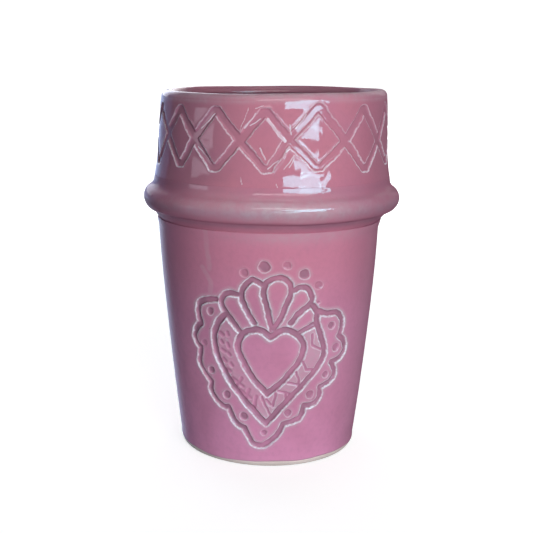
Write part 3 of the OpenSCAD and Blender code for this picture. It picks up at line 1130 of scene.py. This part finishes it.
@dataclass
class CarvedBody:
    """Body wall in its coat of glaze, with the heart cut into the front."""

    form: CupForm
    carving: Carving = field(default_factory=heart_carving)
    draw_r: float = 34.3
    front: float = 31.5
    front_ease: float = 0.7
    back_pitch: float = math.radians(3.4)
    fine: float = 0.26
    coarse: float = 0.7
    coarse_low_z: Pair = (6.0, 3.0)
    coarse_high_z: Pair = (71.5, 74.0)
    end_pitch: float = 0.15
    end_low_z: Pair = (2.6, 1.6)
    end_high_h: float = 1.2
    spigot_r: float = 25.95
    ledge_gap: float = 0.1
    bead_h: float = 0.16
    bead_up: float = 0.75
    bead_w: float = 0.5
    tuck: float = 0.3
    tuck_h: float = 0.45
    end_waves: Rows = ((0.32, 3.0, 0.5), (0.18, 7.0, 1.9), (0.1, 13.0, 0.0))
    deepest_sag: float = 0.45
    sag_h: float = 3.5
    ripple_h: float = 0.02
    ripple_z: Pair = (71.0, 66.0)
    shoulder_lift: float = 0.5
    shoulder_z: float = 75.0
    end_thin: float = 0.75
    end_thin_h: float = 0.9
    # Painted light that lifts the shade in the band just under the roll, mostly at the front
    neck_painted_light: float = 0.32
    neck_light_at: Pair = (77.4, 2.4)
    neck_light_turn_at: Pair = (0.25, 0.6)

    def angles(self) -> Array:
        """Columns: fine across the carved front, wide round the back.

        Returns:
            Angles from the front.
        """
        front = self.front / self.draw_r

        def pitch(angle: Array) -> Array:
            """Spacing that widens past the carved front."""
            past = ease(front, front + self.front_ease, np.abs(angle))
            return self.fine / self.draw_r + self.back_pitch * past

        return stations(-math.pi, math.pi, pitch)[:-1]

    def heights(self) -> Array:
        """Rows: fine over the carving, finest at the two ends of the wall.

        Returns:
            Heights from the end of the glaze up to the roll.
        """
        low, high = self.form.bare_h, float(self.form.under_touch[1])

        def pitch(z: Array) -> Array:
            """Spacing by height."""
            plain = self.coarse * (ease(*self.coarse_low_z, z) + ease(*self.coarse_high_z, z))
            ends = ease(*self.end_low_z, z) + ease(high - self.end_high_h, high, z)
            return self.fine + plain - (self.fine + self.coarse - self.end_pitch) * ends

        return stations(low, high, pitch)

    def back(self, top_z: float) -> Array:
        """Section behind the face: down the bore, round the spigot and out under the end of the glaze.

        Args:
            top_z: Height of the top of the face.

        Returns:
            Points [r, z].
        """
        f = self.form
        bore_z = np.array([top_z, 60.0, 40.0, 20.0, f.floor_t + f.floor_fillet])
        bore = np.stack([f.body_r(bore_z) - f.wall_t + f.glaze_t, bore_z], axis=-1)
        ledge_r, end_r = f.body_r(np.array([f.ledge_h, f.bare_h])) - f.glaze_t
        ledge_z = f.ledge_h + self.ledge_gap
        under = [[self.spigot_r, f.floor_t], [self.spigot_r, ledge_z], [ledge_r, ledge_z],
                 [end_r, f.bare_h + f.glaze_t]]
        return np.concatenate([bore, under])

    def build(self, glaze: bpy.types.Material) -> bpy.types.Object:
        """Cuts the carving into the outside, closes the wall behind it and dresses it.

        The outside is the body's radius moved along its normal by the carving; the glaze ends in a soft wavy
        bead, and the wall lifts a little towards the hollow under the roll.

        Args:
            glaze: Finish of the wall.

        Returns:
            The piece.
        """
        f = self.form
        angle, z = self.angles(), self.heights()
        grid_z, grid_a = np.meshgrid(z, angle, indexing="ij")
        cut = self.carving.apply(grid_a * self.draw_r, grid_z)
        bead = self.bead_h * bell(z, f.bare_h + self.bead_up, self.bead_w)
        bead = bead - self.tuck * ease(f.bare_h + self.tuck_h, f.bare_h, z)
        bead = bead + self.shoulder_lift * ease(self.shoulder_z, f.under_touch[1], z)
        wiped = self.ripple_h * ripple(grid_a, grid_z, 3) * ease(*self.ripple_z, grid_z)
        move = cut.move + bead[:, None] + wiped
        lean = np.arctan(np.gradient(f.body_r(z), z))[:, None]
        sag = sines(angle, self.end_waves)[None] * ease(f.bare_h + self.sag_h, f.bare_h, z)[:, None]
        outer_r = f.body_r(z)[:, None] + move * np.cos(lean)
        outer_z = grid_z - move * np.sin(lean) + np.maximum(sag, -self.deepest_sag)
        back = spun(self.back(z[-1]), len(angle))
        r = np.concatenate([outer_r, back[..., 0]])
        h = np.concatenate([outer_z, back[..., 1]])
        # Paler where the glaze ends at the foot, and painted light in the band under the roll
        pale = self.end_thin * ease(f.bare_h + self.end_thin_h, f.bare_h, grid_z)
        pale = pale + self.neck_painted_light * bell(grid_z, *self.neck_light_at) * bell(grid_a, *self.neck_light_turn_at)
        marks = {**cut.marks, Mark.THIN_AND_LIGHT: np.maximum(cut.marks[Mark.THIN_AND_LIGHT], pale)}
        marks = with_back(marks, back.shape[:2])
        piece = turned_piece("carved_body", f.settled(r, angle[None], h), True, marks, glaze)
        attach(piece, CUP_BODY)
        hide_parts("body_wall", "outer_glaze")
        return piece


@dataclass
class ShoulderRoll:
    """Coil of clay round the shoulder in its coat of glaze."""

    form: CupForm
    columns: int = 320
    bore_r: float = 35.0
    hollow_steps: int = 26
    bead_steps: int = 44
    presses: Rows = ((0.1, 5.0, 0.6), (0.07, 9.0, 2.2), (0.05, 16.0, 0.0))
    proud_from: Pair = (0.8, 4.5)
    sway: float = 0.8
    sway_shift: int = 37
    hollow_z: float = 88.6
    under_lift: float = 0.9
    under_at: Pair = (80.2, 1.6)
    crest_up: float = 0.9
    crest_w: float = 3.2
    front_lean: float = 0.15
    front_press: float = 0.34
    front_press_w: float = 2.0
    front_at: Pair = (0.3, 0.75)
    # Painted shade: bands across the lower half of the bead, in the crease under it and in the hollow above
    # it
    shade_bands: Rows = ((0.55, 84.6, 1.6), (0.5, 80.6, 0.9), (0.22, 91.0, 1.5))
    # Painted sheen along the top of the bead, stronger at the front
    thin: float = 0.1
    front_sheen: float = 0.5
    front_sheen_at: Pair = (0.1, 0.6)

    def moved(self, section: Array, angle: Array) -> Array:
        """How far the outside stands off the turned section.

        The upper hollow rises into the collar's flare as a cubic that starts level and ends at the flare's
        slope, the lower hollow stands out by a bell, and the front is pressed flatter and leans out upwards.

        Args:
            section: Points [r, z] of the outside and the bore.
            angle: Angles of the columns.

        Returns:
            Distances by row and column, which are nothing on the bore.
        """
        f = self.form
        level, high = section[:, 1:], float(f.over_touch[1])
        rise = np.clip((level - self.hollow_z) / (high - self.hollow_z), 0.0, 1.0)
        run_out = 2.0 * (high - self.hollow_z) / f.flare_h * rise**2 * (1.0 - rise)
        flare = f.collar_flare * (ease(self.hollow_z, high, level) + run_out)
        flare = flare + self.under_lift * bell(level, *self.under_at)
        front = self.front_lean * (level - f.roll_z) * bell(level, f.roll_z, self.crest_w)
        front = front - self.front_press * bell(level, f.roll_z + self.crest_up, self.front_press_w)
        outside = section[:, :1] > self.bore_r + 0.5
        return (flare + front * bell(angle[None], *self.front_at)) * outside

    def build(self, glaze: bpy.types.Material) -> bpy.types.Object:
        """Turns hollow, bead and hollow, closes them on the bore behind, and dresses the coil.

        Args:
            glaze: Finish of the coil.

        Returns:
            The piece.
        """
        f = self.form
        angle = round_angles(self.columns)
        face = f.roll_curve(self.hollow_steps, self.bead_steps)
        section = np.concatenate([face, [[self.bore_r, face[-1, 1]], [self.bore_r, face[0, 1]]]])
        proud = ease(*self.proud_from, section[:, :1] - f.body_top[0])
        pressed = sines(angle, self.presses)
        r = section[:, :1] + proud * pressed[None] + self.moved(section, angle)
        h = section[:, 1:] + self.sway * proud * np.roll(pressed, self.sway_shift)[None]
        z = spun(section, self.columns)[..., 1]
        # Painted sheen along the top of the bead, and painted shade in bands below and above it
        thin = self.thin + self.front_sheen * bell(angle[None], *self.front_sheen_at)
        thin = thin * bell(z, f.roll_z + self.crest_up, self.crest_w)
        marks = plain_marks(z.shape, bells(z, self.shade_bands), thin)
        piece = turned_piece("shoulder_coil", f.settled(r, angle[None], h), True, marks, glaze)
        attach(piece, CUP_BODY)
        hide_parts("shoulder_roll")
        return piece


@dataclass
class CarvedCollar:
    """Collar and lip in their coat of glaze, with the diamonds cut round the outside."""

    form: CupForm
    draw_r: float = 37.9
    columns: int = 760
    fine: float = 0.3
    finest: float = 0.09
    finest_h: float = 1.5
    fade_low_h: float = 2.0
    fade_high_h: float = 1.0
    bore_r: float = 35.2
    bore_top: float = 100.0
    lip_steps: int = 32
    lip_draw: float = 0.14
    draw_z: float = 115.6
    draw_slope: float = 0.055
    ripple_h: float = 0.016
    pillow_h: float = 0.12
    bulge_h: float = 0.16
    bulge_x: Pair = (1.5, 5.0)
    bulge_z: Pair = (100.5, 4.0)
    rim_thin: float = 0.25
    rim_z: Pair = (116.4, 118.2)
    # Pale lip: thin glaze, and painted highlight that is strongest on the front half, with only the far share
    # of it at the back
    lip_thin_and_highlight: float = 0.12
    lip_top_thin_and_highlight: float = 0.4
    far_share: float = 0.2
    # Painted shade on the inside of the lip
    inner_lip_shade: float = 0.08
    inner_lip_shade_in: Pair = (0.3, 1.4)

    def build(self, glaze: bpy.types.Material) -> bpy.types.Object:
        """Cuts the diamonds into the outside, carries it over the lip, closes it behind, and dresses it.

        Between its cuts each diamond swells a little, because the tool pushes the soft clay up. The wall
        flares out to the roll as a parabola and draws in just under the lip.

        Args:
            glaze: Finish of the collar.

        Returns:
            The piece.
        """
        f = self.form
        angle = round_angles(self.columns)
        low, high = float(f.over_touch[1]), float(f.collar_top[1])
        wider = self.fine - self.finest
        z = stations(low, high, lambda h: self.finest + wider * ease(low, low + self.finest_h, h))
        wall_r = f.over_touch[0] + (low - z) * math.tan(f.collar_lean)
        turns = np.linspace(0.0, 1.0, self.lip_steps + 1)
        lip = arc(f.lip_centre, f.lip_r, f.collar_lean, math.pi + f.collar_lean, turns)[1:]
        lip[:, 0] -= self.lip_draw * np.linspace(1.0, 0.0, self.lip_steps) ** 2
        grid_z, grid_a = np.meshgrid(z, angle, indexing="ij")
        across = grid_a * self.draw_r
        band = DiamondBand(self.draw_r)
        cut = band.carving().apply(across, grid_z)
        swell = self.ripple_h * ripple(grid_a, grid_z, 5) + self.pillow_h * band.pillow(across, grid_z)
        swell = swell + self.bulge_h * bell(across, *self.bulge_x) * bell(grid_z, *self.bulge_z)
        fade = ease(low, low + self.fade_low_h, grid_z) * ease(high, high - self.fade_high_h, grid_z)
        flare = f.collar_flare * np.clip(1.0 - (grid_z - low) / f.flare_h, 0.0, 1.0) ** 2
        draw_in = self.draw_slope * np.maximum(grid_z - self.draw_z, 0.0)
        draw_in = draw_in * ease(self.draw_z - 0.4, self.draw_z + 0.6, grid_z)
        move = (cut.move + swell) * fade + flare - draw_in
        outer_r = wall_r[:, None] + move * f.collar_out[0]
        outer_z = grid_z + move * f.collar_out[1]
        back_r, back_z = lip[-1, 0] + f.glaze_t, lip[-1, 1]
        back = [[back_r, back_z - 0.2], [back_r + 0.4, 108.0]]
        back += [[self.bore_r, self.bore_top], [self.bore_r, low]]
        tail = spun(np.concatenate([lip, back]), len(angle))
        r = np.concatenate([outer_r, tail[..., 0]])
        h = np.concatenate([outer_z, tail[..., 1]])
        rim = self.rim_thin * ease(*self.rim_z, grid_z)
        marks = with_back({**cut.marks, Mark.THIN_AND_LIGHT: np.maximum(cut.marks[Mark.THIN_AND_LIGHT], rim)}, tail.shape[:2])
        # Pale lip from thin glaze and painted highlight, mostly on its front half
        near = self.far_share + (1.0 - self.far_share) * ease(-0.6, 0.6, np.cos(angle))
        lip_top = self.lip_top_thin_and_highlight * bell(tail[..., 1], f.cup_h + 0.2, 1.4)
        marks[Mark.THIN_AND_LIGHT][len(z):] = near * (self.lip_thin_and_highlight + lip_top)
        # Painted shade on the inside of the lip
        inner = ease(*self.inner_lip_shade_in, f.lip_centre[0] - tail[..., 0])
        marks[Mark.POOL_AND_SHADE][len(z):] = self.inner_lip_shade * inner
        piece = turned_piece("carved_collar", f.settled(r, angle[None], h), True, marks, glaze)
        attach(piece, CUP_BODY)
        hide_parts("collar_wall")
        return piece


@dataclass
class LinerCoat:
    """Glaze on the inside, over faint throwing rings."""

    form: CupForm
    columns: int = 240
    ring_pitch: float = 6.5
    ring_depth: float = 0.09
    ring_start: Pair = (4.0, 14.0)
    ring_end: Pair = (3.0, 14.0)
    wall_steps: int = 150
    floor_steps: int = 14
    corner_pool: float = 0.45
    corner_z: Pair = (16.0, 8.0)
    corner_r: Pair = (14.0, 22.0)
    floor_pool: float = 0.1
    floor_z: Pair = (40.0, 8.0)
    rim_thin: float = 0.2
    rim_z: Pair = (115.0, 117.8)

    def build(self, glaze: bpy.types.Material) -> bpy.types.Object:
        """Turns the inside and its back into one thin shell with a spiral of throwing rings, and dresses it.

        The rings are a sine of the length along the section less the angle, moved along the section's normal.

        Args:
            glaze: Finish of the coat.

        Returns:
            The piece.
        """
        f = self.form
        angle = round_angles(self.columns)
        face = f.inside_curve(self.wall_steps, self.floor_steps)
        step = np.gradient(face, axis=0)
        size = np.linalg.norm(step, axis=1)
        side = np.stack([step[:, 1], -step[:, 0]], axis=-1) / size[:, None]
        side[0] = (0.0, -1.0)
        behind = face + f.glaze_t * side
        length = np.cumsum(size)
        spiral = 2.0 * math.pi * length[:, None] / self.ring_pitch - angle[None]
        fade = ease(*self.ring_start, length) * ease(*self.ring_end, f.cup_h - face[:, 1])
        rings = self.ring_depth * np.sin(spiral) * fade[:, None]
        inner = face[:, None] + rings[..., None] * side[:, None]
        grid = np.concatenate([spun(behind, self.columns), inner[::-1]])
        plain = spun(np.concatenate([behind, face[::-1]]), self.columns)
        radius, z = plain[..., 0], plain[..., 1]
        pool = self.corner_pool * ease(*self.corner_z, z) * ease(*self.corner_r, radius)
        pool = pool + self.floor_pool * ease(*self.floor_z, z)
        marks = plain_marks(z.shape, pool, self.rim_thin * ease(*self.rim_z, z))
        points = f.settled(grid[..., 0], angle[None], grid[..., 1])
        piece = turned_piece("liner_coat", points, False, marks, glaze)
        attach(piece, CUP_BODY)
        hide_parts("liner_glaze")
        return piece


class LightUse(Enum):
    """What a studio light is for."""

    ALL = "light and glare"
    GLARE = "glare on glossy glaze alone"
    WASH = "soft light without glare"


@dataclass(frozen=True)
class SoftBox:
    """A rectangular studio light that faces the cup."""

    name: str
    azimuth: float
    elevation: float
    away: float
    width: float
    height: float
    radiance: float
    colour: Colour = (1.0, 1.0, 1.0)
    turn: float = 0.0
    use: LightUse = LightUse.ALL
    aim_z: float = 0.09

    def build(self) -> bpy.types.Object:
        """Hangs the light: azimuth is counted from the camera's side towards the right, in degrees.

        A turn, in degrees too, spins the light about the line to the cup.

        Returns:
            The light, with a power that gives its face the stated radiance.
        """
        light = bpy.data.lights.new(self.name, "AREA")
        light.shape = "RECTANGLE"
        light.size, light.size_y = self.width, self.height
        light.energy = self.radiance * math.pi * self.width * self.height
        light.color = self.colour
        lamp = bpy.data.objects.new(self.name, light)
        az, el = math.radians(self.azimuth), math.radians(self.elevation)
        aim = Vector((0.0, 0.0, self.aim_z))
        way = Vector((math.sin(az) * math.cos(el), -math.cos(az) * math.cos(el), math.sin(el)))
        facing = way.to_track_quat("Z", "Y").to_matrix().to_4x4()
        spin = Matrix.Rotation(math.radians(self.turn), 4, "Z")
        lamp.matrix_world = Matrix.Translation(aim + way * self.away) @ facing @ spin
        lamp.visible_diffuse = self.use is not LightUse.GLARE
        lamp.visible_glossy = self.use is not LightUse.WASH
        bpy.context.scene.collection.objects.link(lamp)
        return lamp


@dataclass
class Studio:
    """Pale floor that sweeps up into a backdrop, soft lights, and the camera; places are in metres."""

    camera_at: tuple[float, float, float] = (0.0, -0.335, 0.1316)
    camera_aim: tuple[float, float, float] = (-0.00131, 0.0, 0.06025)
    camera_roll: float = 1.12
    lens: float = 67.66
    sensor: float = 36.0
    nearest: float = 0.01
    sweep_front: float = -3.0
    sweep_depth: float = 1.1
    sweep_round: float = 0.5
    sweep_height: float = 1.6
    sweep_width: float = 5.0
    sweep_drop: float = 0.0001
    paper: Colour = (0.5, 0.5, 0.505)
    unseen_paper: Colour = (0.26, 0.27, 0.3)
    white: Colour = (1.0, 1.0, 1.0)
    cool: Colour = (0.5, 0.64, 1.0)
    cool_x: Pair = (0.03, -0.05)
    glow: Pair = (0.73, 1.0)
    glow_r: Pair = (0.1, 0.7)
    glare: Colour = (0.4, 0.84, 0.99)
    glare_radiance: float = 19.8
    windows: tuple[tuple[float, ...], ...] = (
        (35.5, 2.8, 0.8, 0.24, 0.075, -6.0),
        (22.5, -2.3, 0.8, 0.126, 0.045, 0.0),
        (28.0, 9.8, 0.811, 0.52, 0.075, 0.0),
        (24.5, 2.5, 0.8, 0.07, 0.05, 0.0),
        (38.0, 6.3, 0.805, 0.33, 0.036, -4.0),
        (8.0, -0.9, 0.8, 0.26, 0.016, 0.0),
        (50.5, 9.4, 0.811, 0.17, 0.05, -38.0),
        (34.0, 13.5, 0.823, 0.26, 0.036, 0.0),
    )
    lights: tuple[SoftBox, ...] = (
        SoftBox("key_low", 16.0, -2.5, 0.8, 0.45, 0.1, 20.5, use=LightUse.WASH),
        SoftBox("key_mid", 24.0, 6.5, 0.8, 0.45, 0.16, 3.6, use=LightUse.WASH),
        SoftBox("key_high", 22.0, 30.0, 0.8, 0.45, 0.16, 8.2, use=LightUse.WASH),
        SoftBox("left_panel", -72.0, 3.2, 0.9, 0.34, 0.09, 3.4, (0.9, 0.87, 1.0), use=LightUse.GLARE),
        SoftBox("left_edge", -143.0, 4.0, 0.75, 0.6, 0.6, 1.8, (0.42, 0.6, 1.0)),
        SoftBox("left_wash", -105.0, 0.0, 0.9, 0.4, 0.3, 1.0, use=LightUse.WASH),
        SoftBox("front_fill", 10.0, 23.0, 1.4, 1.4, 0.3, 6.0, use=LightUse.GLARE),
        SoftBox("back_left", -157.0, 18.0, 1.2, 0.9, 0.6, 3.4),
        SoftBox("back_right", 160.0, 18.0, 1.2, 0.9, 0.6, 3.4),
        SoftBox("top_soft", 0.0, 86.0, 1.0, 0.6, 0.6, 1.2),
    )
    ambient: Colour = (0.88, 0.93, 1.0)
    ambient_strength: float = 0.05

    def floor(self) -> bpy.types.Object:
        """Floor and backdrop as one sweep: a flat run, a quarter turn and an upright, carried sideways.

        Returns:
            The sweep, a hair under the foot.
        """
        turn = np.linspace(-math.pi / 2, 0.0, 25)
        y = np.concatenate([[self.sweep_front], self.sweep_depth + self.sweep_round * np.cos(turn)])
        z = np.concatenate([[0.0], self.sweep_round * (1.0 + np.sin(turn))])
        y, z = np.append(y, y[-1]), np.append(z, self.sweep_height) - self.sweep_drop
        across = np.array([-0.5, 0.5]) * self.sweep_width
        points = np.stack(np.broadcast_arrays(across[None], y[:, None], z[:, None]), axis=-1).reshape(-1, 3)
        i = 2 * np.arange(len(y) - 1)
        mesh = bpy.data.meshes.new("pale_sweep")
        mesh.from_pydata(points, [], np.stack([i, i + 1, i + 3, i + 2], axis=-1).tolist())
        mesh.shade_smooth()
        sweep = bpy.data.objects.new("pale_sweep", mesh)
        bpy.context.scene.collection.objects.link(sweep)
        sweep.data.materials.append(self.floor_finish())
        return sweep

    def floor_finish(self) -> bpy.types.Material:
        """White paper that also glows where it is looked at, so that it stays white round a soft shadow.

        A reflection sees it cooler on the left of the cup.

        Returns:
            The finished paper.
        """
        f = Finish(bpy.data.materials.new("white_paper"))
        place = f.place()
        away = f.node("ShaderNodeVectorMath", {"operation": "LENGTH"}, {0: place}, "Value")
        mirrored = f.node("ShaderNodeLightPath", output="Is Glossy Ray")
        tint = f.blend(mirrored * f.span(f.axes(place)[0], *self.cool_x), self.white, self.cool)
        strength = f.span(away, *self.glow_r, *self.glow)
        dull = f.node("ShaderNodeBsdfDiffuse", None, {"Color": (*self.unseen_paper, 1.0)})
        paper = f.node("ShaderNodeBsdfDiffuse", None, {"Color": (*self.paper, 1.0)})
        glow = f.node("ShaderNodeEmission", None, {"Color": tint, "Strength": strength})
        lit = f.node("ShaderNodeAddShader", None, {0: paper, 1: glow})
        both = f.node("ShaderNodeMixShader", None, {0: f.seen(), 1: dull, 2: lit})
        f.node("ShaderNodeOutputMaterial", {"target": "ALL"}, {"Surface": both})
        return f.owner

    def room(self) -> bpy.types.World:
        """A room that looks as white as the floor and gives only a weak light of its own.

        Returns:
            The world of the scene.
        """
        f = Finish(bpy.data.worlds.new("soft_room"))
        weak, white = (f.node("ShaderNodeBackground", None, {"Color": (*colour, 1.0), "Strength": strength})
                       for colour, strength in ((self.ambient, self.ambient_strength), (self.white, 1.0)))
        both = f.node("ShaderNodeMixShader", None, {0: f.seen(), 1: weak, 2: white})
        f.node("ShaderNodeOutputWorld", {"target": "ALL"}, {"Surface": both})
        return f.owner

    def camera(self) -> bpy.types.Object:
        """Camera at the viewing angle, turned a little about its own axis.

        Returns:
            The camera, set as the scene's own.
        """
        data = bpy.data.cameras.new("front_camera")
        data.lens, data.sensor_width, data.clip_start = self.lens, self.sensor, self.nearest
        camera = bpy.data.objects.new("front_camera", data)
        at = Vector(self.camera_at)
        back = (at - Vector(self.camera_aim)).normalized()
        level = Vector((0.0, 0.0, 1.0)).cross(back).normalized()
        up = back.cross(level)
        roll = math.radians(self.camera_roll)
        right = math.cos(roll) * level + math.sin(roll) * up
        top = math.cos(roll) * up - math.sin(roll) * level
        camera.matrix_world = Matrix.Translation(at) @ Matrix((right, top, back)).transposed().to_4x4()
        bpy.context.scene.collection.objects.link(camera)
        bpy.context.scene.camera = camera
        return camera

    def panes(self) -> list[SoftBox]:
        """Window panes that only glare: azimuth, elevation, distance, width, height and turn of each."""
        return [SoftBox(f"pane_{number}", *place, self.glare_radiance, self.glare, turn, LightUse.GLARE)
                for number, (*place, turn) in enumerate(self.windows)]

    def build(self) -> None:
        """Sets the camera, the sweep, the lights and the plain ambient light."""
        self.camera()
        self.floor()
        for box in (*self.lights, *self.panes()):
            box.build()
        bpy.context.scene.world = self.room()
        bpy.context.scene.view_settings.view_transform = "Standard"


def main() -> None:
    """Builds the studio and every piece of the cup, in order, and reports each one."""
    logging.basicConfig(level=logging.INFO, format="%(name)s: %(message)s")
    form = CupForm()
    Studio().build()
    body = GlazeFinish("mauve_glaze_body", face_coat=0.25, rim_coat=0.65)
    # The roll and collar get a darker, rosier glaze than the body: partly painted shade, as less light
    # bounced off the floor reaches them
    roll = GlazeFinish("mauve_glaze_roll", high=(0.525, 0.19, 0.273), side_coat=0.06, rim_coat=0.22)
    collar = GlazeFinish("mauve_glaze", high=(0.53, 0.188, 0.264), rim_coat=0.4, line_half=0.46)
    # The liner is far darker near the lip than low down: painted shade inside the cup
    liner = GlazeFinish("mauve_glaze_liner", low=(0.56, 0.24, 0.37), high=(0.225, 0.07, 0.12),
                        side_coat=0.03, rim_coat=0.03)
    steps = (
        (FootSlab(form), ClayFinish("bare_clay")),
        (CarvedBody(form), body),
        (ShoulderRoll(form), roll),
        (CarvedCollar(form), collar),
        (LinerCoat(form), liner),
    )
    for part, finish in steps:
        piece = part.build(finish.build())
        LOG.info("%s: %d faces, %s", piece.name, len(piece.data.polygons), finish.name)


if __name__ == "__main__":
    main()
